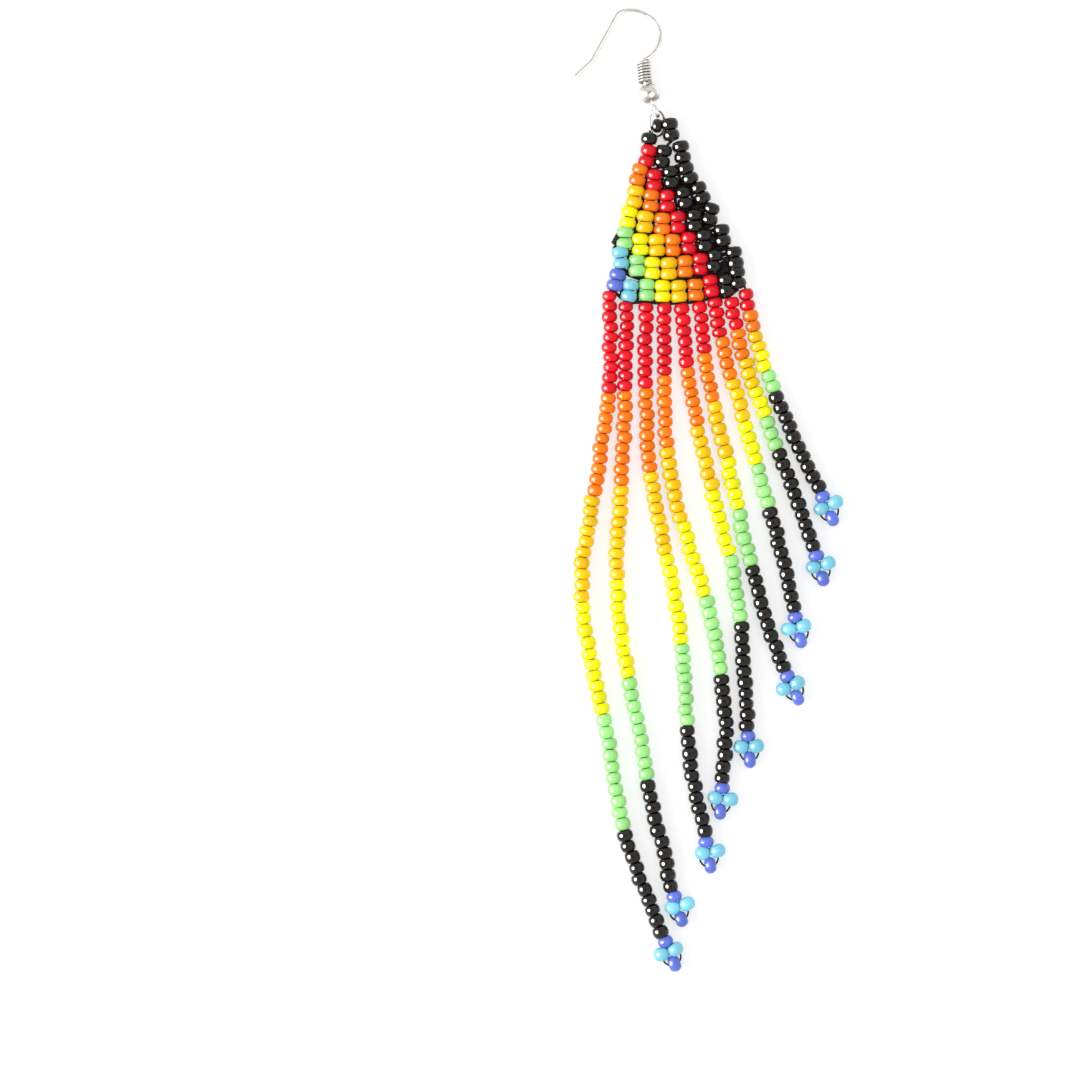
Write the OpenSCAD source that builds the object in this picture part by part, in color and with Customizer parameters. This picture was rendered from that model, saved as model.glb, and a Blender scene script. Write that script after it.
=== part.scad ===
// Beaded fringe earring, lying flat on its back.
// Millimetres. +Z is up off the surface, +Y runs from the fringe to the ear wire.
// The origin is on the surface, under the middle of the outline.

/* [Beads] */
// Outer diameter of a seed bead
bead_d = 2.3; // [2.1:0.1:2.4]
// Length of a seed bead along its hole
bead_l = 1.5; // [1.3:0.1:1.6]
// Diameter of the beading thread where it runs in a bundle
thread_d = 0.4; // [0.3:0.05:0.5]

/* [Ear wire] */
// Diameter of the ear wire
wire_d = 0.7; // [0.6:0.05:0.8]
// Mean radius of the eye at the foot of the stem
eye_r = 0.9; // [0.85:0.05:0.95]
// How far the hook leans down towards its top, in degrees
hook_pitch = 3.4; // [3.2:0.1:3.6]
// How far the hook leans down towards its tail, in degrees
hook_roll = 5.2; // [5:0.1:5.3]

/* [Coil and ball] */
// Diameter of the wire that the coil is wound from
coil_wire_d = 0.38; // [0.3:0.02:0.4]
// Mean radius of the coil
coil_r = 0.88; // [0.84:0.02:0.92]
// Number of turns in the coil
coil_turns = 7; // [5:1:7]
// Diameter of the ball bead
ball_d = 3.1; // [2.8:0.1:3.1]
// Length of the ball bead between its two flat ends
ball_l = 2.4; // [2.2:0.1:2.4]
// Diameter of the hole through the ball bead
ball_hole_d = 1.0; // [0.9:0.05:1.1]

/* [Jump ring] */
// Diameter of the wire of the jump ring
ring_wire_d = 0.4; // [0.35:0.05:0.45]

/* [Panel] */
// Number of rows of stacks
panel_rows = 8; // [6:1:8]
// Thickness of the stitched web between the stacks
web_t = 0.6; // [0.4:0.1:0.8]
// Lean of the stack at the left end of a row, in degrees
lean_left = -9; // [-12:1:0]
// Lean of the stack at the right end of a row, in degrees
lean_right = 12; // [0:1:12]

/* [Strands] */
// Number of strands in the fringe
strands = 9; // [3:1:9]
// Diameter of a string of beads, taken between its waists and its crowns
strand_d = 2.1; // [1.8:0.1:2.1]

/* [Hidden] */

$fn = 32;
strand_sides = 8;
ring_sides = 6;
bead_z = bead_d / 2;
ball_z = ball_d / 2;

// Middle of the ball bead, which the whole hook is placed by
ball_at = [-8.7, 59.65];
// Heading of the stem where it passes through the ball, anticlockwise from +X
stem_heading = 110;
// Heading of the stem inside the coil
coil_heading = 95;
// Distance from the middle of the ball to the lower end of the stem
stem_foot = 1.3;
// Radius of the small kink that centres the eye under the stem
kink_r = 0.6;
// Part of a turn that the eye takes, which leaves it open by less than the ring's wire
eye_sweep = 275;
wire_sides = 10;
// Largest turn between two sections of a bend
bend_step = 15;
// Radius to the flats of the bent wire, whose corners then stay inside the round end of the tail
wire_flat_r = 0.92 * wire_d / 2;
// Round end of the tail, the part that goes through the ear
tail_l = 2.9;
// How far the bent wire runs on inside it
tail_lap = 0.3;

// The ear wire from the foot of the stem to the tip of the tail.
// Columns: length of straight wire, radius of the bend after it, turn of that bend (left is positive)
STRAIGHT = 0;
BEND_R = 1;
TURN = 2;
wire_steps = [
    [3.0, 1.5, coil_heading - stem_heading],
    [2.7, 0.6, -70],
    [0.0, 3.7, 115],
    [0.0, 5.2, 50],
    [0.0, 1.5, 51.5],
    [7.3, 3.0, -19.5],
    [tail_lap, 0.0, 0]
];

// Middle of the lowest turn of the coil, from the middle of the ball
coil_foot = [-0.64, 1.65];
coil_pitch = 0.44;
coil_steps = 12;

// Middle of the jump ring, and the two half axes that span its oval
ring_mid = [-7.6, 55.25, 1.22];
ring_half_w = [1.2, 0, -0.8];
ring_half_l = [0, 1.93, 0.5];
ring_steps = 24;

// Rows of the panel from the top down. Each row sags in its middle.
// Columns: X of the first and last stack, then Y of the first, the middle and the last stack
FIRST_X = 0;
LAST_X = 1;
FIRST_Y = 2;
MID_Y = 3;
LAST_Y = 4;
row_table = [
    [-8.9, -5.0, 52.5, 53.4, 54.1],
    [-9.1, -4.0, 50.3, 50.2, 50.9],
    [-10.4, -2.9, 47.5, 46.8, 47.7],
    [-10.9, -1.0, 44.3, 43.5, 44.8],
    [-11.9, 0.7, 41.2, 40.2, 41.8],
    [-12.4, 2.2, 38.1, 36.9, 38.6],
    [-13.0, 4.0, 34.9, 33.5, 35.4],
    [-13.8, 4.9, 31.7, 30.0, 32.0]
];
// How sharply the ends of a row curl up out of its sag
curl = 6;

// The bead that sits inside the jump ring, with its hole across
apex_bead_at = [-7.55, 54.85];
apex_bead_d = 2.1;
apex_bead_l = 1.4;
// The thread goes over the ring on the right of that bead and under it on the left
thread_over_z = 1.25;
thread_under_z = 1.0;
thread_elbow = [-9.0, 54.2];

// Routes of the strands from the panel down to their tips
routes = [
    [[-14.6, 30.0], [-14.6, 22], [-14.9, 14], [-16.1, 6], [-17.3, -2], [-18.7, -10], [-18.7, -18],
     [-17.3, -26], [-15.5, -34], [-14.1, -42], [-12.7, -50], [-10.2, -58], [-6.7, -66.5]],
    [[-12.1, 29.0], [-12.2, 20], [-12.4, 12], [-12.8, 4], [-13.2, -4], [-13.6, -12], [-13.2, -20],
     [-11.9, -28], [-10.2, -36], [-9.0, -44], [-7.1, -52], [-5.3, -59.7]],
    [[-9.2, 28.6], [-9.3, 20], [-9.2, 12], [-8.8, 4], [-7.4, -4], [-5.6, -12], [-4.2, -20], [-3.5, -28],
     [-3.0, -36], [-2.0, -44], [-0.4, -51.5]],
    [[-6.5, 28.4], [-6.5, 20], [-6.5, 12], [-5.7, 4], [-4.0, -4], [-1.5, -12], [0.7, -20], [2.0, -28],
     [2.7, -36], [2.3, -43.4]],
    [[-3.8, 28.3], [-3.2, 20], [-2.0, 12], [-0.2, 4], [1.7, -4], [3.8, -12], [5.0, -20], [5.6, -28],
     [6.0, -35.6]],
    [[-1.3, 28.4], [-0.4, 20], [1.2, 12], [3.1, 4], [4.9, -4], [6.7, -12], [9.1, -20], [11.5, -26.7]],
    [[1.1, 28.7], [2.5, 21], [4.8, 13], [7.1, 5], [9.4, -3], [11.5, -11], [12.9, -17.8]],
    [[3.4, 29.2], [5.2, 21], [8.0, 13], [11.0, 5], [13.6, -2], [16.0, -8.6]],
    [[5.7, 30.2], [7.5, 22], [10.4, 14], [13.8, 6], [16.8, 0.2]]
];
// Swing of each strand's tip from straight down towards +X, in degrees
tip_swing = [22, 17, 10, -5, 4, 25, 13, 16, 24];

// The picot at a strand's tip: a bead, two beside each other below it, and one across the foot
tip_gap = 0.2;
tip_bead_l = 1.9;
side_bead_at = [1.22, -1.7];
side_lean = 15;
foot_bead_at = -3.75;

function unit(v) = v / norm(v);
function down_from(swing) = [sin(swing), -cos(swing)];

// Direction of a route at its point i, along the chord between its neighbours
function heading(pts, i) = unit(pts[min(i + 1, len(pts) - 1)] - pts[max(i - 1, 0)]);

// Corners of a round wire's section at p, spanned by two unit vectors across the wire.
// The flats, not the corners, face along u and v when there are 8 sides.
function section(p, u, v, r, sides) =
    let (corner_r = r / cos(180 / sides))
    [for (k = [0 : sides - 1]) p + corner_r * (cos((k + 0.5) * 360 / sides) * u + sin((k + 0.5) * 360 / sides) * v)];

// Faces of the skin over count sections, closed into a loop or capped at both ends
function skin_faces(count, sides, loop) = concat(
    [for (i = [0 : count - (loop ? 1 : 2)]) for (k = [0 : sides - 1])
        let (a = i * sides, b = ((i + 1) % count) * sides, n = (k + 1) % sides)
        each [[a + k, a + n, b + k], [a + n, b + n, b + k]]],
    loop ? [] : [[for (k = [sides - 1 : -1 : 0]) k], [for (k = [0 : sides - 1]) (count - 1) * sides + k]]
);

module skin(sections, sides, loop) {
    polyhedron(
        points = [for (s = sections) each s],
        faces = skin_faces(len(sections), sides, loop),
        convexity = 10
    );
}

// Places what is drawn round the ball bead into the leaning plane of the hook
module hook_frame() {
    translate([ball_at.x, ball_at.y, ball_z])
        rotate([-hook_pitch, -hook_roll, 0])
            children();
}

// Walks straights and bends in a plane. Gives each point on the way with the heading there.
function walk(steps, at, angle, i = 0) =
    i == len(steps) ? [[at, angle]] :
    let (step = steps[i], side = sign(step[TURN]), r = side * step[BEND_R], count = ceil(abs(step[TURN]) / bend_step),
        bend_at = at + step[STRAIGHT] * [cos(angle), sin(angle)],
        centre = bend_at + r * [-sin(angle), cos(angle)])
    concat(
        step[STRAIGHT] > 0 ? [[at, angle]] : [],
        [for (j = [0 : 1 : count - 1]) let (a = angle + step[TURN] * j / count) [centre + r * [sin(a), -cos(a)], a]],
        walk(steps, centre + r * [sin(angle + step[TURN]), -cos(angle + step[TURN])], angle + step[TURN], i + 1)
    );

// The eye stands square to the hook, centred under the stem by a small kink. Its sections run up to the stem.
function eye_sections(foot) =
    let (kink = acos(kink_r / (kink_r + eye_r)), down = -[cos(stem_heading), sin(stem_heading), 0],
        across = [sin(stem_heading), -cos(stem_heading), 0], up = [0, 0, 1],
        path = walk([[0, kink_r, -kink], [0, eye_r, eye_sweep]], [0, 0], 0))
    [for (i = [len(path) - 1 : -1 : 1]) let (at = path[i][0], a = path[i][1])
        section([foot.x, foot.y, 0] + at.x * down + at.y * up, across, cos(a) * up - sin(a) * down,
            wire_flat_r, wire_sides)];

module ear_wire() {
    foot = -stem_foot * [cos(stem_heading), sin(stem_heading)];
    path = walk(wire_steps, foot, stem_heading);
    tail = path[len(path) - 2];
    color("silver")
        hook_frame() {
            skin(concat(eye_sections(foot), [for (p = path)
                section([p[0].x, p[0].y, 0], [sin(p[1]), -cos(p[1]), 0], [0, 0, 1], wire_flat_r, wire_sides)]),
                wire_sides, false);
            translate([tail[0].x, tail[0].y, 0])
                rotate([0, 90, tail[1]])
                    cylinder(h = tail_l, d = wire_d);
        }
}

module wire_coil() {
    rise = coil_pitch / coil_steps;
    color("gainsboro")
        hook_frame()
            translate([coil_foot.x, coil_foot.y, 0])
                rotate([0, 0, coil_heading - 90])
                    rotate([-90, 0, 0])
                        skin([for (i = [0 : coil_turns * coil_steps])
                            let (a = i * 360 / coil_steps, out = [cos(a), sin(a), 0])
                            section(coil_r * out + [0, 0, i * rise], out, [0, 0, 1], coil_wire_d / 2, ring_sides)],
                            ring_sides, false);
}

module ball_bead() {
    color("silver")
        hook_frame()
            rotate([0, 0, stem_heading - 90])
                rotate([-90, 0, 0])
                    difference() {
                        intersection() {
                            sphere(d = ball_d);
                            translate([0, 0, -ball_l / 2])
                                cylinder(h = ball_l, d = ball_d + 1);
                        }
                        translate([0, 0, -ball_l])
                            cylinder(h = 2 * ball_l, d = ball_hole_d);
                    }
}

module jump_ring() {
    normal = unit(cross(ring_half_w, ring_half_l));
    color("lightgray")
        skin([for (i = [0 : ring_steps - 1])
            let (a = i * 360 / ring_steps, along = unit(cos(a) * ring_half_l - sin(a) * ring_half_w))
            section(ring_mid + cos(a) * ring_half_w + sin(a) * ring_half_l,
                cross(along, normal), normal, ring_wire_d / 2, ring_sides)],
            ring_sides, true);
}

// A bead form along +Y: a barrel that draws in towards both ends
module bead_form(length, diameter) {
    rotate([-90, 0, 0])
        rotate_extrude()
            polygon([[0, -length / 2], [diameter * 0.35, -length / 2], [diameter / 2, -length / 5],
                [diameter / 2, length / 5], [diameter * 0.35, length / 2], [0, length / 2]]);
}

// Two beads end to end, drawn as one solid
module stack() {
    neck = bead_d * 0.35;
    crown = bead_d / 2 - 0.05;
    rotate([-90, 0, 0])
        rotate_extrude()
            polygon([[0, -bead_l], [neck, -bead_l], [crown, -0.7 * bead_l], [crown, -0.3 * bead_l], [neck, 0],
                [crown, 0.3 * bead_l], [crown, 0.7 * bead_l], [neck, bead_l], [0, bead_l]]);
}

// Y of a point at share t of the way along a row
function row_y(row, t) = row[MID_Y] + (row[FIRST_Y] - row[MID_Y]) * pow(1 - t, curl)
    + (row[LAST_Y] - row[MID_Y]) * pow(t, curl);

// Round thread between two points, with a round elbow at its far end
module thread_run(from, to) {
    way = to - from;
    translate(from)
        rotate([0, acos(way.z / norm(way)), atan2(way.y, way.x)])
            cylinder(h = norm(way), d = thread_d, $fn = 16);
    translate(to)
        sphere(d = thread_d * 1.2, $fn = 16);
}

module woven_panel() {
    left_edge = [for (i = [0 : panel_rows - 1]) [row_table[i][FIRST_X], row_table[i][FIRST_Y] - 0.3]];
    right_edge = [for (i = [panel_rows - 1 : -1 : 0]) [row_table[i][LAST_X], row_table[i][LAST_Y] - 0.8]];
    apex_over = [apex_bead_at.x, apex_bead_at.y, thread_over_z];
    apex_under = [apex_bead_at.x, apex_bead_at.y, thread_under_z];
    color("orangered") {
        translate([0, 0, bead_z - web_t / 2])
            linear_extrude(web_t)
                polygon(concat(left_edge, right_edge));
        for (i = [0 : panel_rows - 1])
            for (j = [0 : i + 1]) {
                row = row_table[i];
                t = j / (i + 1);
                first = i == 0 && j == 0;
                translate([row[FIRST_X] + t * (row[LAST_X] - row[FIRST_X]), row_y(row, t), bead_z])
                    rotate([0, 0, lean_left + t * (lean_right - lean_left)])
                        if (first)
                            bead_form(bead_l, bead_d);
                        else
                            stack();
            }
        translate([apex_bead_at.x, apex_bead_at.y, bead_z])
            rotate([0, 0, 90])
                bead_form(apex_bead_l, apex_bead_d);
        thread_run(apex_over, [row_table[0][LAST_X], apex_bead_at.y, thread_over_z]);
        thread_run(apex_under, [thread_elbow.x, thread_elbow.y, thread_under_z]);
        thread_run([thread_elbow.x, thread_elbow.y, thread_under_z],
            [row_table[0][FIRST_X], row_table[0][FIRST_Y], thread_under_z]);
    }
}

// A string of beads as one tube that lies on the surface
module strand(k) {
    route = routes[k - 1];
    color("gold")
        skin([for (i = [0 : len(route) - 1])
            let (along = heading(route, i))
            section([route[i].x, route[i].y, strand_d / 2], [along.y, -along.x, 0], [0, 0, 1],
                strand_d / 2, strand_sides)],
            strand_sides, false);
}

module strand_tip(k) {
    route = routes[k - 1];
    swing = tip_swing[k - 1];
    start = route[len(route) - 1] + (tip_bead_l / 2 + tip_gap) * down_from(swing);
    loop_foot = [tip_bead_l / 2 + thread_d / 2, foot_bead_at];
    color("deepskyblue")
        translate([start.x, start.y, bead_z])
            rotate([0, 0, swing]) {
                bead_form(tip_bead_l, bead_d);
                for (side = [-1, 1]) {
                    translate([side * side_bead_at.x, side_bead_at.y, 0])
                        rotate([0, 0, side * side_lean])
                            bead_form(tip_bead_l, bead_d);
                    thread_run([0, 0, 0], [side * side_bead_at.x, side_bead_at.y, 0]);
                    thread_run([side * side_bead_at.x, side_bead_at.y, 0], [side * loop_foot.x, loop_foot.y, 0]);
                    thread_run([0, loop_foot.y, 0], [side * loop_foot.x, loop_foot.y, 0]);
                }
                translate([0, foot_bead_at, 0])
                    rotate([0, 0, 90])
                        bead_form(tip_bead_l, bead_d);
            }
}

ear_wire();
wire_coil();
ball_bead();
jump_ring();
woven_panel();
for (k = [1 : strands]) {
    strand(k);
    strand_tip(k);
}
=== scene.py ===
import math
import random

import bmesh
import bpy
from mathutils import Matrix, Vector
from mathutils.geometry import interpolate_bezier


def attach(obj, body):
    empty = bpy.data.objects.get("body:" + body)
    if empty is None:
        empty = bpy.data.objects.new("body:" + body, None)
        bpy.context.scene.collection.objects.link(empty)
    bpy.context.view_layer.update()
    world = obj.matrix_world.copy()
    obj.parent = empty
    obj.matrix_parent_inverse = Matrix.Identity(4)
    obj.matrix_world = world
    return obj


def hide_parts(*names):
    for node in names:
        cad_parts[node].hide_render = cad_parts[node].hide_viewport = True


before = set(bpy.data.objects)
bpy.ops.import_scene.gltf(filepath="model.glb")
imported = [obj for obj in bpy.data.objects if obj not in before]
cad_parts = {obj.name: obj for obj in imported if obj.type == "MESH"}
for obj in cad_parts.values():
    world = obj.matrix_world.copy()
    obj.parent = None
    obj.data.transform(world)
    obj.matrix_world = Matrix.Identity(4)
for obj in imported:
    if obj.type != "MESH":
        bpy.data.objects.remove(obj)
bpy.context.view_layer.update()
print("frame loaded,", len(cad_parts), "nodes")

mm = 0.001
up = Vector((0, 0, 1))
dice = random.Random(11)

# camera straight above the middle of the picture
view = {
    "pictureWidth": 1080,
    "pixel": 0.15 * mm,
    "originPixel": (707.5, 491.5),
    "lens": 100,
    "sensor": 36,
    "planeHeight": 1.15 * mm,  # the plane in which a pixel has that size
    "nearest": 0.01,
}


def placeCamera():
    half = view["pictureWidth"] / 2
    x = (half - view["originPixel"][0]) * view["pixel"]
    y = (view["originPixel"][1] - half) * view["pixel"]
    width = view["pictureWidth"] * view["pixel"]
    distance = width * view["lens"] / view["sensor"]
    data = bpy.data.cameras.new("camera")
    data.lens = view["lens"]
    data.sensor_width = view["sensor"]
    data.clip_start = view["nearest"]
    camera = bpy.data.objects.new("camera", data)
    camera.location = (x, y, distance + view["planeHeight"])
    bpy.context.scene.collection.objects.link(camera)
    bpy.context.scene.camera = camera


placeCamera()


# materials: small node set-ups, a function for each kind of stuff

# paint is the glass colour, across the bead's width in mm, rough the blur of its gloss, shine its
# strength, and milk how much the light spreads in it
beadStock = {
    "red": {"paint": (0.72, 0.002, 0.012), "across": 2.34, "rough": 0.26, "shine": 0.28, "milk": 0.15},
    "orange": {"paint": (0.9, 0.2, 0.002), "across": 2.36, "rough": 0.28, "shine": 0.26, "milk": 0.25},
    "gold": {"paint": (0.91, 0.56, 0.001), "across": 2.46, "rough": 0.28, "shine": 0.24, "milk": 0.3},
    "yellow": {"paint": (0.91, 0.85, 0.001), "across": 2.44, "rough": 0.28, "shine": 0.24, "milk": 0.3},
    "green": {"paint": (0.35, 0.78, 0.25), "across": 2.38, "rough": 0.28, "shine": 0.28, "milk": 0.35},
    "cyan": {"paint": (0.22, 0.61, 0.75), "across": 2.34, "rough": 0.26, "shine": 0.28, "milk": 0.35},
    "blue": {"paint": (0.125, 0.18, 0.65), "across": 2.34, "rough": 0.26, "shine": 0.28, "milk": 0.25},
    "black": {"paint": (0.01, 0.007, 0.005), "across": 2.42, "rough": 0.08, "shine": 0.45, "milk": 0.0},
}
beadColors = list(beadStock)

# tones and shades are shares of the paint
glass = {
    "tones": (0.84, 1.08),
    "cloud": {"size": 0.9 * mm, "detail": 3, "contrast": (0.35, 0.65), "shade": 0.7, "share": 0.16},
    # painted shade round the hole, where a bead meets its neighbours
    "mouth": {"shade": 0.45, "share": 0.25, "from": 0.3},
    "blur": (0.8, 1.25),  # shares of the blur of the gloss
    "refraction": 1.52,
    "glowDepth": 0.5 * mm,
    "glowColor": (1, 0.8, 0.6),
    "ripple": {"size": 0.5 * mm, "depth": 0.02 * mm, "strength": 0.15},
}

silver = {
    "bright": (0.97, 0.95, 0.92),
    "worn": (0.62, 0.53, 0.42),
    # the dark colour mixed in as painted shade between the coil's turns, and at the ball's ends
    "darkened": (0.11, 0.075, 0.055, 1),
    "patch": {"size": 0.8 * mm, "detail": 4, "contrast": (0.35, 0.7)},
    "blur": (0.7, 1.8),
    "grain": {"size": 0.15 * mm, "detail": 3, "depth": 0.01 * mm, "strength": 0.12},
}

threadLook = {
    "dark": (0.005, 0.004, 0.005, 1),
    "waxed": (0.02, 0.017, 0.018, 1),
    "fibre": {"size": 0.12 * mm, "detail": 4, "contrast": (0.3, 0.7), "depth": 0.02 * mm,
              "strength": 0.6},
    "rough": 0.5,
    "shine": 0.2,
    "fuzz": 0.05,
}


def startMaterial(name):
    material = bpy.data.materials.new(name)
    material.use_nodes = True
    return material, material.node_tree, material.node_tree.nodes["Principled BSDF"]


# feeds a socket from another socket, or sets it to a plain value
def feed(tree, socket, source):
    if isinstance(source, bpy.types.NodeSocket):
        tree.links.new(source, socket)
    else:
        socket.default_value = source


def mixColors(tree, share, first, second):
    mix = tree.nodes.new("ShaderNodeMix")
    mix.data_type = "RGBA"
    colors = [socket for socket in mix.inputs if socket.type == "RGBA"]
    feed(tree, mix.inputs["Factor"], share)
    feed(tree, colors[0], first)
    feed(tree, colors[1], second)
    return next(socket for socket in mix.outputs if socket.type == "RGBA")


def readAttribute(tree, name):
    node = tree.nodes.new("ShaderNodeAttribute")
    node.attribute_name = name
    return node.outputs["Fac"]


# soft noise fixed to the piece, size is that of one patch
def noiseOf(tree, size, detail=2.0):
    place = tree.nodes.new("ShaderNodeTexCoord")
    noise = tree.nodes.new("ShaderNodeTexNoise")
    noise.inputs["Scale"].default_value = 1 / size
    noise.inputs["Detail"].default_value = detail
    tree.links.new(place.outputs["Object"], noise.inputs["Vector"])
    return noise.outputs["Fac"]


def remap(tree, source, low, high, fromLow=0.0, fromHigh=1.0):
    node = tree.nodes.new("ShaderNodeMapRange")
    feed(tree, node.inputs["Value"], source)
    node.inputs["From Min"].default_value = fromLow
    node.inputs["From Max"].default_value = fromHigh
    node.inputs["To Min"].default_value = low
    node.inputs["To Max"].default_value = high
    return node.outputs["Result"]


def addBump(tree, shader, height, depth, strength):
    bump = tree.nodes.new("ShaderNodeBump")
    bump.inputs["Strength"].default_value = strength
    bump.inputs["Distance"].default_value = depth
    tree.links.new(height, bump.inputs["Height"])
    tree.links.new(bump.outputs["Normal"], shader.inputs["Normal"])


def scaled(color, share):
    return tuple(channel * share for channel in color) + (1,)


# opaque glass: each bead has its own tone and a cloudy swirl, and painted shade darkens it round its hole
def makeGlass(name, look):
    material, tree, shader = startMaterial(name + "Glass")
    paint = look["paint"]
    cloud, hole, ripple = glass["cloud"], glass["mouth"], glass["ripple"]
    tone = readAttribute(tree, "beadTone")
    mouth = readAttribute(tree, "beadMouthShade")
    swirl = remap(tree, noiseOf(tree, cloud["size"], cloud["detail"]), 0, 1, *cloud["contrast"])
    ownTone = mixColors(tree, tone, *[scaled(paint, share) for share in glass["tones"]])
    cloudShare = remap(tree, swirl, 0, cloud["share"])
    clouded = mixColors(tree, cloudShare, ownTone, scaled(paint, cloud["shade"]))
    # painted shade darkens the glass towards the mouth of the hole
    holeShadeShare = remap(tree, mouth, 0, hole["share"], hole["from"], 1)
    finished = mixColors(tree, holeShadeShare, clouded, scaled(paint, hole["shade"]))
    tree.links.new(finished, shader.inputs["Base Color"])
    crisp, dull = [look["rough"] * share for share in glass["blur"]]
    tree.links.new(remap(tree, swirl, crisp, dull), shader.inputs["Roughness"])
    shader.inputs["IOR"].default_value = glass["refraction"]
    shader.inputs["Specular IOR Level"].default_value = look["shine"]
    shader.inputs["Subsurface Weight"].default_value = look["milk"]
    shader.inputs["Subsurface Radius"].default_value = glass["glowColor"]
    shader.inputs["Subsurface Scale"].default_value = glass["glowDepth"]
    addBump(tree, shader, noiseOf(tree, ripple["size"]), ripple["depth"], ripple["strength"])
    return material


# bright silver plate, worn in patches, and darkened where a piece asks: painted shade between the turns of
# the coil, and darker ends on the ball
def makeSilver(name, brightness, rough, wear):
    material, tree, shader = startMaterial(name)
    patch, grain = silver["patch"], silver["grain"]
    patches = remap(tree, noiseOf(tree, patch["size"], patch["detail"]), 0, 1, *patch["contrast"])
    bright = scaled(silver["bright"], brightness)
    worn = scaled(silver["worn"], brightness)
    plated = mixColors(tree, remap(tree, patches, 0, wear), bright, worn)
    darkened = mixColors(tree, readAttribute(tree, "darkening"), plated, silver["darkened"])
    tree.links.new(darkened, shader.inputs["Base Color"])
    crisp, dull = [rough * share for share in silver["blur"]]
    tree.links.new(remap(tree, patches, crisp, dull), shader.inputs["Roughness"])
    shader.inputs["Metallic"].default_value = 1
    grains = noiseOf(tree, grain["size"], grain["detail"])
    addBump(tree, shader, grains, grain["depth"], grain["strength"])
    return material


def makeThread(name):
    material, tree, shader = startMaterial(name)
    fibre = threadLook["fibre"]
    fibres = noiseOf(tree, fibre["size"], fibre["detail"])
    share = remap(tree, fibres, 0, 1, *fibre["contrast"])
    color = mixColors(tree, share, threadLook["dark"], threadLook["waxed"])
    tree.links.new(color, shader.inputs["Base Color"])
    shader.inputs["Roughness"].default_value = threadLook["rough"]
    shader.inputs["Specular IOR Level"].default_value = threadLook["shine"]
    shader.inputs["Sheen Weight"].default_value = threadLook["fuzz"]
    addBump(tree, shader, fibres, fibre["depth"], fibre["strength"])
    return material


glassOf = {name: makeGlass(name, look) for name, look in beadStock.items()}
wireSilver = makeSilver("wireSilver", brightness=1.0, rough=0.09, wear=0.45)
ballSilver = makeSilver("ballSilver", brightness=0.98, rough=0.06, wear=0.4)
threadBlack = makeThread("threadBlack")
print("materials made")


# shapes that several pieces share

# a smooth line of close points through given ones
def smoothLine(points, stepsPerSpan=8):
    line = []
    for i in range(len(points) - 1):
        start, end = points[i], points[i + 1]
        before = points[i - 1] if i else start
        after = points[i + 2] if i + 2 < len(points) else end
        handles = start + (end - before) / 6, end - (after - start) / 6
        line += interpolate_bezier(start, *handles, end, stepsPerSpan + 1)[:-1]
    return line + [points[-1]]


def lengthOf(line):
    return sum((b - a).length for a, b in zip(line, line[1:]))


# the point and the direction that lie a distance along a line
def walkAlong(line, distance):
    for start, end in zip(line, line[1:]):
        step = end - start
        if distance <= step.length:
            break
        distance -= step.length
    heading = step.normalized()
    return (start if distance <= step.length else end) + heading * distance, heading


def turned(vector, degrees):
    return Matrix.Rotation(math.radians(degrees), 3, "Z") @ vector


# sweeps a round section along a line, radii gives its radius at each point
def sweep(bm, line, radii, sides):
    headings = []
    for i in range(len(line)):
        before, after = line[max(i - 1, 0)], line[min(i + 1, len(line) - 1)]
        headings.append((after - before).normalized())
    stand = Matrix.Translation(line[0]) @ up.rotation_difference(headings[0]).to_matrix().to_4x4()
    made = bmesh.ops.create_circle(bm, segments=sides, radius=radii[0], matrix=stand)["verts"]
    firstRing = list({edge for vert in made for edge in vert.link_edges})
    ring = firstRing
    for i in range(1, len(line)):
        made = bmesh.ops.extrude_edge_only(bm, edges=ring)["geom"]
        verts = [item for item in made if isinstance(item, bmesh.types.BMVert)]
        ring = [item for item in made if isinstance(item, bmesh.types.BMEdge)]
        turn = headings[i - 1].rotation_difference(headings[i]).to_matrix().to_4x4()
        grow = Matrix.Scale(radii[i] / radii[i - 1], 4)
        step = Matrix.Translation(line[i]) @ turn @ grow @ Matrix.Translation(-line[i - 1])
        bmesh.ops.transform(bm, matrix=step, verts=verts)
    bmesh.ops.edgeloop_fill(bm, edges=firstRing)
    bmesh.ops.edgeloop_fill(bm, edges=ring)


threadSides = 8


def addThread(bm, line, radius):
    sweep(bm, line, [radius] * len(line), threadSides)


# the upper half of an outline in the XZ plane and its mirror below it
def withMirror(half, shared=0):
    return half + [Vector((point.x, 0, -point.z)) for point in reversed(half[:len(half) - shared])]


# turns a closed outline in the XZ plane round Z
def spinOutline(bm, outline, sides):
    verts = [bm.verts.new(point) for point in outline]
    edges = [bm.edges.new(pair) for pair in zip(verts, verts[1:] + verts[:1])]
    bmesh.ops.spin(bm, geom=verts + edges, cent=(0, 0, 0), axis=up, dvec=(0, 0, 0), angle=math.tau,
                   steps=sides, use_merge=True)


# stores a number for each point of a piece, for its material to read
def storeShares(piece, name, shares):
    piece.data.attributes.new(name, "FLOAT", "POINT").data.foreach_set("value", shares)


# closes a piece: smooth faces, normals outward, its materials and its body, and hides the solid it stands for
def finishPiece(bm, name, materials, node=None):
    bmesh.ops.recalc_face_normals(bm, faces=bm.faces)
    for face in bm.faces:
        face.smooth = True
    mesh = bpy.data.meshes.new(name)
    bm.to_mesh(mesh)
    bm.free()
    for material in materials:
        mesh.materials.append(material)
    piece = bpy.data.objects.new(name, mesh)
    bpy.context.scene.collection.objects.link(piece)
    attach(piece, "root")
    if node:
        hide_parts(node)
    return piece
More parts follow.
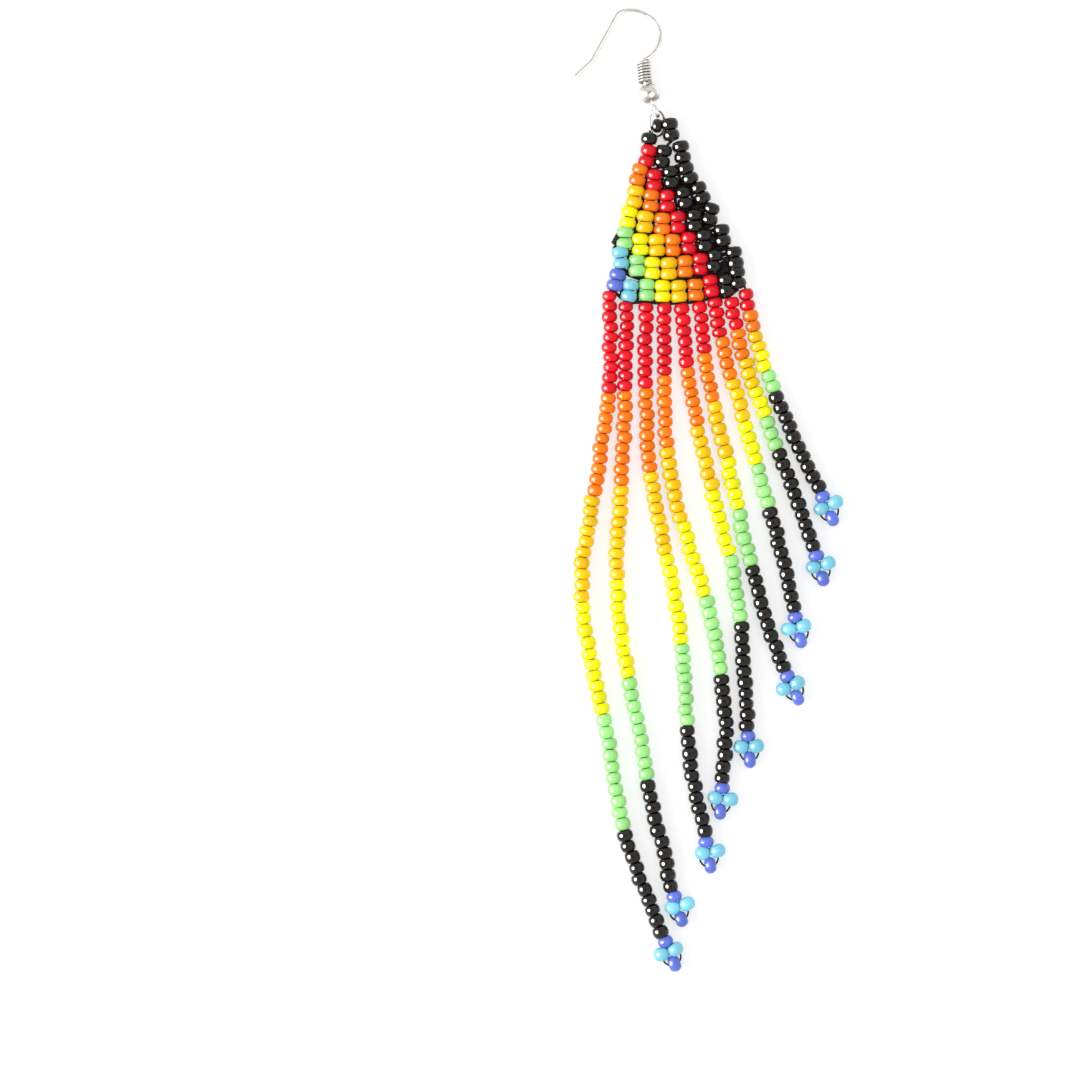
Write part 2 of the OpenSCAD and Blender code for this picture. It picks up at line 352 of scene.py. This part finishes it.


# the outline of a bead from its hole to its waist, as shares of its radius and half length, and how much
# painted shade each point of it takes, most at the mouth of the hole
beadForm = {
    "barrel": {
        "sides": 12,
        "outline": [(0.42, 1.01), (0.78, 0.88), (1.0, 0.36)],
        "mouth": [1, 0.25, 0],
    },
    "round": {
        "sides": 12,
        "outline": [(0.45, 1.05), (0.85, 0.83), (1.0, 0.28)],
        "mouth": [1, 0.3, 0],
    },
    "fine": {
        "sides": 16,
        "outline": [(0.28, 0.84), (0.38, 0.94), (0.56, 0.93), (0.78, 0.72), (0.93, 0.42), (1.0, 0.1)],
        "mouth": [1, 0.8, 0.4, 0, 0, 0],
    },
}


# a drilled bead of radius and half length 1 round Z
def makeBead(name, form):
    bm = bmesh.new()
    half = [Vector((across, 0, along)) for across, along in form["outline"]]
    spinOutline(bm, withMirror(half), form["sides"])
    bmesh.ops.recalc_face_normals(bm, faces=bm.faces)
    mesh = bpy.data.meshes.new(name)
    bm.to_mesh(mesh)
    bm.free()
    return mesh


# the share of painted shade round the hole at each point of a bead, from the nearest point of the outline
def mouthShadeShares(mesh, form):
    shares = []
    for vert in mesh.vertices:
        misses = [abs(across - vert.co.xy.length) + abs(along - abs(vert.co.z))
                  for across, along in form["outline"]]
        shares.append(form["mouth"][misses.index(min(misses))])
    return shares


beadMesh = {name: makeBead(name + "Bead", form) for name, form in beadForm.items()}
beadMouthShade = {name: mouthShadeShares(beadMesh[name], form) for name, form in beadForm.items()}


# one bead: its colour, the middle of its hole, the way the hole runs, and its length, width and form
def bead(color, middle, along, length, across=None, form=None):
    across = across or beadStock[color]["across"]
    form = form or ("round" if color == "black" else "barrel")
    return {"color": color, "middle": middle, "along": along, "length": length * mm,
            "across": across * mm, "form": form}


glassPieces = bpy.data.collections.new("glassPieces")


# joins beads into one piece, each a little different from the next
def stringBeads(name, beads, node, vary):
    bm = bmesh.new()
    tones = []
    mouths = []
    colors = [color for color in beadColors if any(item["color"] == color for item in beads)]
    for item in beads:
        firstVert, firstFace = len(bm.verts), len(bm.faces)
        bm.from_mesh(beadMesh[item["form"]])
        bm.verts.ensure_lookup_table()
        bm.faces.ensure_lookup_table()
        radius = item["across"] / 2 * dice.uniform(1 - vary["size"], 1 + vary["size"])
        halfLength = item["length"] / 2 * dice.uniform(1 - vary["length"], 1 + vary["length"])
        along = turned(item["along"], dice.uniform(-vary["tilt"], vary["tilt"]))
        turn = up.rotation_difference(along).to_matrix().to_4x4()
        roll = Matrix.Rotation(dice.uniform(0, math.tau), 4, "Z")
        oval = Matrix.Diagonal((radius, radius * dice.uniform(1 - vary["oval"], 1), halfLength, 1))
        middle = item["middle"].copy()
        middle.z = max(middle.z, radius)  # it lies on the surface, not in it
        place = Matrix.Translation(middle) @ turn @ roll @ oval
        bmesh.ops.transform(bm, matrix=place, verts=bm.verts[firstVert:])
        for face in bm.faces[firstFace:]:
            face.material_index = colors.index(item["color"])
        tones += [dice.random() * vary["tone"]] * len(beadMesh[item["form"]].vertices)
        mouths += beadMouthShade[item["form"]]
    piece = finishPiece(bm, name, [glassOf[color] for color in colors], node)
    storeShares(piece, "beadTone", tones)
    storeShares(piece, "beadMouthShade", mouths)
    glassPieces.objects.link(piece)


# strands, each a string of beads on a thread with a picot at its end

# the routes are those of the solid strands, from the panel down, in metres
routes = [
    [(-0.0146, 0.0300), (-0.0146, 0.0220), (-0.0149, 0.0140), (-0.0161, 0.0060), (-0.0173, -0.0020),
     (-0.0187, -0.0100), (-0.0187, -0.0180), (-0.0173, -0.0260), (-0.0155, -0.0340), (-0.0141, -0.0420),
     (-0.0127, -0.0500), (-0.0102, -0.0580), (-0.0067, -0.0665)],
    [(-0.0121, 0.0290), (-0.0122, 0.0200), (-0.0124, 0.0120), (-0.0128, 0.0040), (-0.0132, -0.0040),
     (-0.0136, -0.0120), (-0.0132, -0.0200), (-0.0119, -0.0280), (-0.0102, -0.0360), (-0.0090, -0.0440),
     (-0.0071, -0.0520), (-0.0053, -0.0597)],
    [(-0.0092, 0.0286), (-0.0093, 0.0200), (-0.0092, 0.0120), (-0.0088, 0.0040), (-0.0074, -0.0040),
     (-0.0056, -0.0120), (-0.0042, -0.0200), (-0.0035, -0.0280), (-0.0030, -0.0360), (-0.0020, -0.0440),
     (-0.0004, -0.0515)],
    [(-0.0065, 0.0284), (-0.0065, 0.0200), (-0.0065, 0.0120), (-0.0057, 0.0040), (-0.0040, -0.0040),
     (-0.0015, -0.0120), (0.0007, -0.0200), (0.0020, -0.0280), (0.0027, -0.0360), (0.0023, -0.0434)],
    [(-0.0038, 0.0283), (-0.0032, 0.0200), (-0.0020, 0.0120), (-0.0002, 0.0040), (0.0017, -0.0040),
     (0.0038, -0.0120), (0.0050, -0.0200), (0.0056, -0.0280), (0.0060, -0.0356)],
    [(-0.0013, 0.0284), (-0.0004, 0.0200), (0.0012, 0.0120), (0.0031, 0.0040), (0.0049, -0.0040),
     (0.0067, -0.0120), (0.0091, -0.0200), (0.0115, -0.0267)],
    [(0.0011, 0.0287), (0.0025, 0.0210), (0.0048, 0.0130), (0.0071, 0.0050), (0.0094, -0.0030),
     (0.0115, -0.0110), (0.0129, -0.0178)],
    [(0.0034, 0.0292), (0.0052, 0.0210), (0.0080, 0.0130), (0.0110, 0.0050), (0.0136, -0.0020),
     (0.0160, -0.0086)],
    [(0.0057, 0.0302), (0.0075, 0.0220), (0.0104, 0.0140), (0.0138, 0.0060), (0.0168, 0.0002)],
]

strand = {
    "colors": ["red", "orange", "gold", "yellow", "green"],
    "mostOfAColor": 10,  # the first strand has 10 beads of each colour, each next one has 1 less
    "blackBeads": 10,
    # how far up the picture the first bead and the last one of each colour lie in mm, strand by strand
    "beadHeights": [
        (29.3, 15.5, 0.1, -15.8, -32.5, -49.9), (27.7, 15.8, 1.7, -12.4, -27.1, -42.4),
        (27.5, 16.3, 3.7, -8.6, -22.0, -34.3), (27.5, 18.2, 7.4, -3.8, -14.9, -26.6),
        (27.4, 19.4, 10.6, 1.0, -8.8, -18.7), (27.7, 21.5, 14.2, 5.9, -1.9, -10.3),
        (28.3, 23.9, 17.6, 11.3, 4.9, -1.6), (28.3, 25.1, 20.6, 16.3, 11.9, 7.1),
        (29.6, 28.0, 24.8, 21.8, 18.8, 15.7),
    ],
    "sidestep": 0.16 * mm,
    "lengths": 0.1,  # how much one bead is longer or shorter than the next
    "past": 0.35 * mm,  # how far the last bead stands past the end of its route
    "thread": {"radius": 0.16 * mm, "tail": 1.2 * mm, "every": 3},  # it takes every third point of its line
    "vary": {"size": 0.045, "length": 0.02, "tilt": 6, "oval": 0.04, "tone": 1.0},
}

picot = {
    "swing": [22, 17, 10, -5, 4, 25, 13, 16, 24],  # degrees from straight down towards +X, strand by strand
    "drop": 1.01,  # from the end of the route to the place 0 of the picot
    "top": {"length": 1.7, "across": 2.42, "form": "fine"},
    "sides": {"length": 2.0, "across": 2.42, "form": "fine"},
    "foot": {"length": 1.9, "across": 2.5, "form": "fine"},
    "topAt": (0, -0.06),
    "sideAt": (1.12, -1.62),
    "slip": [-0.15, 0.4, 0.35, 0.25, 0, -0.2, -0.2, 0.25, 0.25],  # how far the side beads sit to one side
    "sideLean": 15,
    "sideLift": 0.55,  # the right side bead leans on the left one
    "footAt": (0, -3.62),
    "threadRadius": 0.14 * mm,
    # half of the loop, and how far up each point of it lies on the right
    "threadLoop": [(0, 1.2), (0, -1.1), (0.75, -1.0), (1.12, -1.62), (1.34, -2.35), (1.3, -2.9),
                   (0.92, -3.5), (0.4, -3.62)],
    "lifts": [0, 0, 0.35, 0.55, 0.5, 0.35, 0.1, 0],
    "vary": {"size": 0.03, "length": 0.04, "tilt": 4, "oval": 0.03, "tone": 1.0},
}


def routeOf(number):
    height = beadStock["red"]["across"] / 2 * mm
    return smoothLine([Vector((x, y, height)) for x, y in routes[number - 1]])


# how far along a strand its line has come down to a height in the picture
def distanceTo(line, height):
    gone = 0
    for start, end in zip(line, line[1:]):
        if end.y <= height:
            return gone + (end - start).length * (start.y - height) / (start.y - end.y)
        gone += (end - start).length
    return gone


def strandBeads(number, line):
    beads = []
    count = strand["mostOfAColor"] + 1 - number
    firstBead, *lastBeads = [distanceTo(line, height * mm) for height in strand["beadHeights"][number - 1]]
    gone = firstBead - (lastBeads[0] - firstBead) / (count - 1) / 2
    for color, lastBead in zip(strand["colors"], lastBeads):
        pitch = (lastBead - gone) / (count - 0.5)
        beads += runOfBeads(line, color, gone, pitch, count)
        gone += pitch * count
    pitch = (lengthOf(line) + strand["past"] - gone) / strand["blackBeads"]
    return beads + runOfBeads(line, "black", gone, pitch, strand["blackBeads"])


# some beads of one colour, end to end on the line
def runOfBeads(line, color, start, pitch, count):
    shares = [dice.uniform(1 - strand["lengths"], 1 + strand["lengths"]) for i in range(count)]
    beads = []
    for share in shares:
        length = pitch * count * share / sum(shares)
        middle, along = walkAlong(line, start + length / 2)
        middle += turned(along, 90) * dice.uniform(-1, 1) * strand["sidestep"]
        beads.append(bead(color, middle, along, length / mm))
        start += length
    return beads


def downOf(number):
    return turned(Vector((0, -1, 0)), picot["swing"][number - 1])


# turns a point of the picot, in mm, into its place below the strand
def picotPlace(number, line, point, lift=0):
    start = Vector((*routes[number - 1][-1], line[0].z))
    drop = downOf(number) * picot["drop"] * mm
    return start + drop + turned(Vector((*point, lift)), picot["swing"][number - 1]) * mm


def picotBeads(number, line):
    down = downOf(number)
    x, y = picot["sideAt"]
    slip = picot["slip"][number - 1]
    beads = [bead("blue", picotPlace(number, line, picot["topAt"]), down, **picot["top"])]
    for side, lift in ((-1, 0), (1, picot["sideLift"])):
        lean = turned(down, side * picot["sideLean"])
        middle = picotPlace(number, line, (side * x + slip, y), lift)
        beads.append(bead("cyan", middle, lean, **picot["sides"]))
    beads.append(bead("blue", picotPlace(number, line, picot["footAt"]), turned(down, 90), **picot["foot"]))
    return beads


# the thread runs down the strand, round the picot and back into its top bead
def strandThread(number, line):
    bm = bmesh.new()
    thread = strand["thread"]
    tail = line[0] - (line[1] - line[0]).normalized() * thread["tail"]
    addThread(bm, [tail, *line[::thread["every"]], line[-1]], thread["radius"])
    half = picot["threadLoop"]
    loop = [picotPlace(number, line, point, lift) for point, lift in zip(half, picot["lifts"])]
    loop += [picotPlace(number, line, (-x, y)) for x, y in reversed(half[1:])]
    addThread(bm, smoothLine(loop, stepsPerSpan=4), picot["threadRadius"])
    finishPiece(bm, f"strandThread{number}", [threadBlack])


for number in range(1, len(routes) + 1):
    line = routeOf(number)
    beads = strandBeads(number, line)
    stringBeads(f"strandBeads{number}", beads, f"strand_{number}", strand["vary"])
    beads = picotBeads(number, line)
    stringBeads(f"tipBeads{number}", beads, f"strand_tip_{number}", picot["vary"])
    strandThread(number, line)
print("strands strung,", len(routes))


# panel of brick stitch, rows of stacks of two beads

panel = {
    # the middle of each stack in mm and its lean in degrees, row by row from the top, left to right
    "rows": [
        [(-8.75, 52.9, -9), (-5.6, 54.25, 9)],
        [(-9.0, 50.3, -14), (-6.7, 50.25, -11), (-3.9, 50.9, 10)],
        [(-10.35, 47.5, -15), (-8.0, 46.65, -2), (-5.5, 47.1, 6), (-3.0, 47.65, 23)],
        [(-10.9, 44.2, -9), (-8.5, 43.6, -2), (-6.1, 43.5, 2), (-3.5, 44.0, 12), (-1.1, 44.75, 22)],
        [(-11.85, 41.1, -9), (-9.4, 40.4, -3), (-6.8, 40.1, 0), (-4.5, 40.35, 1), (-1.95, 40.6, 3),
         (0.4, 41.6, -11)],
        [(-12.4, 38.0, -2), (-10.1, 37.0, 2), (-7.65, 36.9, 2), (-5.25, 36.9, 2), (-2.85, 37.2, 2),
         (-0.5, 37.55, 5), (2.15, 38.4, 6)],
        [(-13.05, 35.0, 6), (-10.6, 33.9, 2), (-8.3, 33.5, 0), (-5.85, 33.4, 1), (-3.4, 33.7, 1),
         (-1.1, 34.05, 1), (0.95, 34.55, -8), (4.0, 35.05, 9)],
        [(-13.7, 31.7, -14), (-11.7, 30.1, -8), (-9.1, 30.2, 0), (-6.75, 30.0, 0), (-4.35, 30.0, 2),
         (-1.8, 30.2, 2), (0.5, 30.8, 8), (2.75, 30.9, 4), (4.45, 32.05, 6)],
    ],
    # colours of a row counted from its right end
    "fromTheRight": ["black", "black", "red", "orange", "gold", "yellow", "green", "cyan", "blue"],
    "pitch": 1.66,
    "plump": 1.09,  # how much wider than in the strands its beads look
    "apex": {"at": (-7.55, 54.85), "across": 2.1, "length": 1.4},
    "height": 1.15,  # of the beads' middles in mm, and every other stack lies a stagger higher
    "stagger": 0.1,
    "lift": 0.2 * mm,  # the most that chance adds to it
    "vary": {"size": 0.035, "length": 0.04, "tilt": 4, "oval": 0.04, "tone": 0.5},
}

# the thread of the panel
stitch = {
    "radius": 0.22 * mm,
    "stackHeight": 1.2 * mm,
    "bridgeHeight": 1.15 * mm,
    "bridgeSag": [0.9, 0.3, 0.1, 0.1, 0.1, 0.1, 0.1, 0.1],
    # in mm in the picture, with its height, from the apex bead to the first stacks
    "apexThreads": [
        [(-7.55, 54.85, 1.15), (-6.7, 54.95, 1.2), (-5.9, 54.9, 1.2)],
        [(-7.55, 54.85, 1.1), (-8.35, 54.6, 1.05), (-8.65, 53.6, 1.1)],
    ],
    # the end of the thread, wound and knotted, in mm
    "knot": {
        "from": (-13.2, 38.5, 1.2),
        "to": (-14.0, 37.1, 1.0),
        "tail": (-14.1, 36.5, 0.4),
        "turns": 5,
        "stepsPerTurn": 10,
        "wide": 0.36,
    },
    # stitches behind the black columns, which cross to and fro between these two sides
    "darning": {
        "left": [(-3.6, 42.6), (1.7, 29.7)],
        "right": [(-0.9, 43.2), (2.1, 38.4), (4.0, 35.0), (4.5, 31.2)],
        "crossings": 34,
        "stray": 0.6,  # the most that chance moves a crossing down, as a share of the way to the next
        "lowest": 0.4,
        "highest": 1.5,
    },
    # dark thread laid behind the beads as painted shade: down between stacks that stand closer than the
    # widest gap, and along a row's foot where it isn't 0 mm thick
    "shadeBacking": {
        "height": 0.6 * mm,
        "radius": 0.26 * mm,
        "widest": 2.75,
        "reach": 0.9,  # a share of the stack's half length
        "footShadeRadii": [0, 0, 0.4, 0.4, 0.4, 0.4, 0.46, 0.26],
    },
}


def flat(point, height):
    return Vector((point[0] * mm, point[1] * mm, height))


# the way up a stack's hole
def stackUp(lean):
    return turned(Vector((0, 1, 0)), lean)


def panelBeads():
    apex = panel["apex"]
    apexMiddle = flat(apex["at"], panel["height"] * mm)
    beads = [bead("black", apexMiddle, Vector((1, 0, 0)), apex["length"], apex["across"])]
    for rowNumber, row in enumerate(panel["rows"]):
        for place, (x, y, lean) in enumerate(row):
            color = panel["fromTheRight"][len(row) - 1 - place]
            height = (panel["height"] + place % 2 * panel["stagger"]) * mm
            middle = flat((x, y), height + dice.random() * panel["lift"])
            step = stackUp(lean) * panel["pitch"] / 2 * mm
            single = rowNumber == 0 and place == 0
            across = beadStock[color]["across"] * panel["plump"]
            for way in [0] if single else [1, -1]:
                beads.append(bead(color, middle + step * way, stackUp(lean), panel["pitch"], across))
    return beads


# a line wound round the straight from one point to another
def knotLine(knot):
    start, end, tail = [Vector(knot[name]) * mm for name in ("from", "to", "tail")]
    turn = up.rotation_difference(end - start).to_matrix()
    steps = knot["turns"] * knot["stepsPerTurn"]
    wound = []
    for i in range(steps + 1):
        angle = math.tau * knot["turns"] * i / steps
        around = Vector((math.cos(angle), math.sin(angle), 0)) * knot["wide"] * mm
        wound.append(start.lerp(end, i / steps) + turn @ around)
    return wound + [tail]


# a line that crosses to and fro between two sides
def darningLine(darning):
    points = []
    for i in range(darning["crossings"]):
        side = smoothLine([flat(point, 0) for point in darning["right" if i % 2 else "left"]])
        share = (i + dice.uniform(0, darning["stray"])) / darning["crossings"]
        point = walkAlong(side, lengthOf(side) * share)[0]
        point.z = dice.uniform(darning["lowest"], darning["highest"]) * mm
        points.append(point)
    return smoothLine(points, stepsPerSpan=5)


# a thread up each stack, bridges along the foot of each row that carry the next one, dark thread behind the
# beads as painted shade in the gaps, and the ends
def panelThread():
    bm = bmesh.new()
    radius = stitch["radius"]
    reach = panel["pitch"] * mm
    shadeBacking = stitch["shadeBacking"]
    for row, sag, footShadeRadius in zip(panel["rows"], stitch["bridgeSag"], shadeBacking["footShadeRadii"]):
        feet = []
        for x, y, lean in row:
            middle = flat((x, y), stitch["stackHeight"])
            half = stackUp(lean) * reach
            addThread(bm, [middle + half, middle - half], radius)
            feet.append(flat((x, y), stitch["bridgeHeight"]) - half)
        for left, right in zip(row, row[1:]):
            # dark thread between close stacks, as painted shade in the gap
            if math.dist(left[:2], right[:2]) < shadeBacking["widest"]:
                between = flat(((left[0] + right[0]) / 2, (left[1] + right[1]) / 2), shadeBacking["height"])
                half = stackUp((left[2] + right[2]) / 2) * reach * shadeBacking["reach"]
                addThread(bm, [between + half, between - half], shadeBacking["radius"])
        bridge = [feet[0]]
        for left, right in zip(feet, feet[1:]):
            bridge += [(left + right) / 2 - Vector((0, sag * mm, 0)), right]
        bridge = smoothLine(bridge, stepsPerSpan=4)
        addThread(bm, bridge, radius)
        # a dark band along the row's foot, as painted shade under it
        if footShadeRadius:
            behind = [Vector((point.x, point.y, shadeBacking["height"])) for point in bridge]
            addThread(bm, behind, footShadeRadius * mm)
    for points in stitch["apexThreads"]:
        line = smoothLine([Vector(point) * mm for point in points], stepsPerSpan=4)
        addThread(bm, line, radius)
    addThread(bm, darningLine(stitch["darning"]), radius)
    addThread(bm, knotLine(stitch["knot"]), radius)
    finishPiece(bm, "panelThread", [threadBlack])


stringBeads("panelBeads", panelBeads(), "woven_panel", panel["vary"])
panelThread()
print("panel stitched,", len(panel["rows"]), "rows")


# ear wire with its coil, ball and jump ring, in mm

# the wire, coil and ball lie in a plane that leans round the middle of the ball, headings are degrees from +X
hook = {
    "ball": (-8.7, 59.65, 1.55),  # in the room
    "pitch": 3.4,
    "roll": 5.2,
    "wire": 0.7,
    "stemHeading": 110,
    "coilHeading": 95,
    "stemFoot": 1.3,
    "kinkRadius": 0.6,
    "eyeRadius": 0.9,
    "eyeSweep": 275,
    "eyeEnd": (0.7, 0.95),  # thickness of the first sections, as shares of the wire's
    # straight length, bend radius and turn in degrees, from the foot of the stem to the tail
    "bends": [(3.0, 1.5, -15), (2.7, 0.6, -70), (0, 3.7, 115), (0, 5.2, 50), (0, 1.5, 51.5),
              (7.3, 3.0, -19.5)],
    "tail": 2.9,
    "tailSteps": (0.5, 0.92, 0.97, 0.99, 1),  # shares of its length, and the thickness at the last ones
    "tailEnd": (1, 0.93, 0.8, 0.5),
    "sides": 16,
    "stepDegrees": 6,
}

coil = {
    "foot": (-0.64, 1.65),
    "wire": 0.38,
    "radius": 0.88,
    "pitch": 0.44,
    "turns": 7,
    "stepsPerTurn": 24,
    "sides": 10,
    # the most painted shade between its turns
    "darkening": 0.95,
}

ball = {
    "across": 3.1,
    "length": 2.4,
    "hole": 1.0,
    "lip": 0.06,
    "sides": 32,
    "roundSteps": 12,
    # how much darker it grows towards both ends
    "darkening": 0.8,
    "undarkened": 0.45,  # the share of its half length from the middle that is not darkened
}

# the ring is placed in the room, halfWide and halfLong are the two half axes of its oval
jumpRing = {
    "middle": (-7.6, 55.25, 1.22),
    "halfWide": (1.2, 0, -0.8),
    "halfLong": (0, 1.93, 0.5),
    "wire": 0.4,
    "steps": 56,
    "cutDegrees": 2,
    "cutAt": 150,
    "sides": 12,
}

silverPieces = bpy.data.collections.new("silverPieces")


def finishSilver(bm, name, material, node, darkening=None):
    piece = finishPiece(bm, name, [material], node)
    silverPieces.objects.link(piece)
    if darkening:
        storeShares(piece, "darkening", darkening)


# puts a point of the hook's plane into the room
def hookPlace():
    roll = Matrix.Rotation(math.radians(-hook["roll"]), 4, "Y")
    pitch = Matrix.Rotation(math.radians(-hook["pitch"]), 4, "X")
    return Matrix.Translation(Vector(hook["ball"]) * mm) @ roll @ pitch @ Matrix.Scale(mm, 4)


# lays what is made round Z along a heading in the hook's plane
def laidAlong(heading):
    return Matrix.Rotation(math.radians(heading - 90), 4, "Z") @ Matrix.Rotation(math.radians(-90), 4, "X")


def headingOf(degrees):
    return Vector((math.cos(math.radians(degrees)), math.sin(math.radians(degrees))))


# walks straights and bends in a plane, gives the points on the way and the last heading
def bendWire(bends, at, heading):
    points = [at.copy()]
    for straight, radius, turn in bends:
        ahead = headingOf(heading)
        if straight:
            points.append(points[-1] + ahead * straight)
        centre = points[-1] + Vector((-ahead.y, ahead.x)) * radius * (1 if turn > 0 else -1)
        spoke = points[-1] - centre
        steps = math.ceil(abs(turn) / hook["stepDegrees"])
        for i in range(1, steps + 1):
            points.append(centre + Matrix.Rotation(math.radians(turn * i / steps), 2) @ spoke)
        heading += turn
    return points, heading


def earWire():
    down = -headingOf(hook["stemHeading"])
    foot = down * hook["stemFoot"]
    path, heading = bendWire(hook["bends"], foot, hook["stemHeading"])
    tail = [path[-1] + headingOf(heading) * hook["tail"] * share for share in hook["tailSteps"]]
    # a small kink centres the eye under the stem, and both stand square to the hook
    kink = math.degrees(math.acos(hook["kinkRadius"] / (hook["kinkRadius"] + hook["eyeRadius"])))
    eyeBends = [(0, hook["kinkRadius"], -kink), (0, hook["eyeRadius"], hook["eyeSweep"])]
    eye = bendWire(eyeBends, Vector((0, 0)), 0)[0]
    line = [foot.to_3d() + down.to_3d() * point.x + up * point.y for point in reversed(eye[1:])]
    line += [point.to_3d() for point in path + tail]
    radii = [hook["wire"] / 2] * len(line)
    radii[:2] = [hook["wire"] / 2 * share for share in hook["eyeEnd"]]
    radii[-4:] = [hook["wire"] / 2 * share for share in hook["tailEnd"]]
    bm = bmesh.new()
    sweep(bm, line, radii, hook["sides"])
    bmesh.ops.transform(bm, matrix=hookPlace(), verts=bm.verts)
    finishSilver(bm, "earWire", wireSilver, "ear_wire")


def wireCoil():
    line = []
    for i in range(coil["turns"] * coil["stepsPerTurn"] + 1):
        turns = i / coil["stepsPerTurn"]
        out = Vector((math.cos(math.tau * turns), math.sin(math.tau * turns), 0)) * coil["radius"]
        line.append(out + up * coil["pitch"] * turns)
    bm = bmesh.new()
    sweep(bm, line, [coil["wire"] / 2] * len(line), coil["sides"])
    bmesh.ops.recalc_face_normals(bm, faces=bm.faces)
    bm.normal_update()
    # painted shade where its turns face each other
    grooveShade = [coil["darkening"] * abs(vert.normal.z) ** 2 for vert in bm.verts]
    place = hookPlace() @ Matrix.Translation((*coil["foot"], 0)) @ laidAlong(hook["coilHeading"])
    bmesh.ops.transform(bm, matrix=place, verts=bm.verts)
    finishSilver(bm, "wireCoil", wireSilver, "wire_coil", grooveShade)


def ballBead():
    radius, halfLength, hole = [ball[name] / 2 for name in ("across", "length", "hole")]
    lip = ball["lip"]
    flatAngle = math.asin(halfLength / radius)
    half = [Vector((hole, 0, halfLength - lip)), Vector((hole + lip, 0, halfLength))]
    for i in range(ball["roundSteps"] + 1):
        angle = flatAngle * (1 - i / ball["roundSteps"])
        half.append(Vector((radius * math.cos(angle), 0, radius * math.sin(angle))))
    bm = bmesh.new()
    spinOutline(bm, withMirror(half, shared=1), ball["sides"])
    undarkened = ball["undarkened"]
    # darker towards both ends, past the undarkened middle
    ends = [ball["darkening"] * max(0, abs(vert.co.z) / halfLength - undarkened) / (1 - undarkened)
            for vert in bm.verts]
    place = hookPlace() @ laidAlong(hook["stemHeading"])
    bmesh.ops.transform(bm, matrix=place, verts=bm.verts)
    finishSilver(bm, "ballBead", ballSilver, "ball_bead", ends)


def ringLoop():
    middle, halfWide, halfLong = [Vector(jumpRing[name]) for name in ("middle", "halfWide", "halfLong")]
    line = []
    for i in range(jumpRing["steps"] + 1):
        past = (360 - jumpRing["cutDegrees"]) * i / jumpRing["steps"]
        angle = math.radians(jumpRing["cutAt"] + jumpRing["cutDegrees"] / 2 + past)
        line.append((middle + halfWide * math.cos(angle) + halfLong * math.sin(angle)) * mm)
    bm = bmesh.new()
    sweep(bm, line, [jumpRing["wire"] / 2 * mm] * len(line), jumpRing["sides"])
    finishSilver(bm, "jumpRing", wireSilver, "jump_ring")


earWire()
wireCoil()
ballBead()
ringLoop()
print("ear wire, coil, ball and ring made")


# stage: a pale floor under soft studio light

floorPaper = {
    "size": 1.6,
    "color": (0.42, 0.42, 0.42),
    "glow": 0.56,  # the white table is lit from below, which keeps the shadows pale
    "grain": 30 * mm,
    "grainShade": 0.95,
    "grainShare": 0.3,
    "rough": 0.9,
    "shine": 0.1,
}

studio = {
    "skyZenith": 0.18,  # the room is dark round the camera
    "skySides": 0.78,
    "zenithEdge": (0.91, 1.0),
    "key": {"away": (-0.5, -0.06, 0.27), "size": 0.5, "watts": 2.4},
    "glint": {"away": (-0.45, -0.054, 0.243), "size": 0.46, "watts": 18.0},
    "fill": {"away": (0.1, 0.1, 0.9), "size": 1.0, "watts": 4.0},
    "sheen": {"away": (0.35, -0.3, 0.75), "size": 1.1, "watts": 2.1},
}
white = (1, 1, 1, 1)


def makeFloor():
    material, tree, shader = startMaterial("floorPaper")
    color = floorPaper["color"]
    grain = remap(tree, noiseOf(tree, floorPaper["grain"]), 0, floorPaper["grainShare"])
    pale = mixColors(tree, grain, scaled(color, 1), scaled(color, floorPaper["grainShade"]))
    tree.links.new(pale, shader.inputs["Base Color"])
    shader.inputs["Roughness"].default_value = floorPaper["rough"]
    shader.inputs["Specular IOR Level"].default_value = floorPaper["shine"]
    shader.inputs["Emission Color"].default_value = white
    shader.inputs["Emission Strength"].default_value = floorPaper["glow"]
    bm = bmesh.new()
    bmesh.ops.create_grid(bm, x_segments=2, y_segments=2, size=floorPaper["size"] / 2)
    mesh = bpy.data.meshes.new("floor")
    bm.to_mesh(mesh)
    bm.free()
    mesh.materials.append(material)
    floor = bpy.data.objects.new("floor", mesh)
    bpy.context.scene.collection.objects.link(floor)


def addLamp(name, lamp):
    data = bpy.data.lights.new(name, "AREA")
    data.shape = "DISK"
    data.size = lamp["size"]
    data.energy = lamp["watts"]
    away = Vector(lamp["away"])
    light = bpy.data.objects.new(name, data)
    light.location = away
    light.rotation_euler = away.to_track_quat("Z", "Y").to_euler()
    bpy.context.scene.collection.objects.link(light)
    return light


def setSky():
    world = bpy.data.worlds.new("studioAir")
    world.use_nodes = True
    tree = world.node_tree
    direction = tree.nodes.new("ShaderNodeTexCoord")
    split = tree.nodes.new("ShaderNodeSeparateXYZ")
    tree.links.new(direction.outputs["Generated"], split.inputs["Vector"])
    sides, zenith = studio["skySides"], studio["skyZenith"]
    strength = remap(tree, split.outputs["Z"], sides, zenith, *studio["zenithEdge"])
    background = tree.nodes["Background"]
    background.inputs["Color"].default_value = white
    tree.links.new(strength, background.inputs["Strength"])
    bpy.context.scene.world = world
    bpy.context.scene.view_settings.view_transform = "Standard"


makeFloor()
addLamp("keyLamp", studio["key"])
glintLamp = addLamp("glintLamp", studio["glint"])
glintLamp.visible_diffuse = False  # only its reflection shows, and in the glass alone
glintLamp.light_linking.receiver_collection = glassPieces
fillLamp = addLamp("fillLamp", studio["fill"])
fillLamp.visible_glossy = False  # this one has no reflection
sheenLamp = addLamp("sheenLamp", studio["sheen"])
sheenLamp.light_linking.receiver_collection = silverPieces  # and this one is a white card over the silver
setSky()
print("stage set")
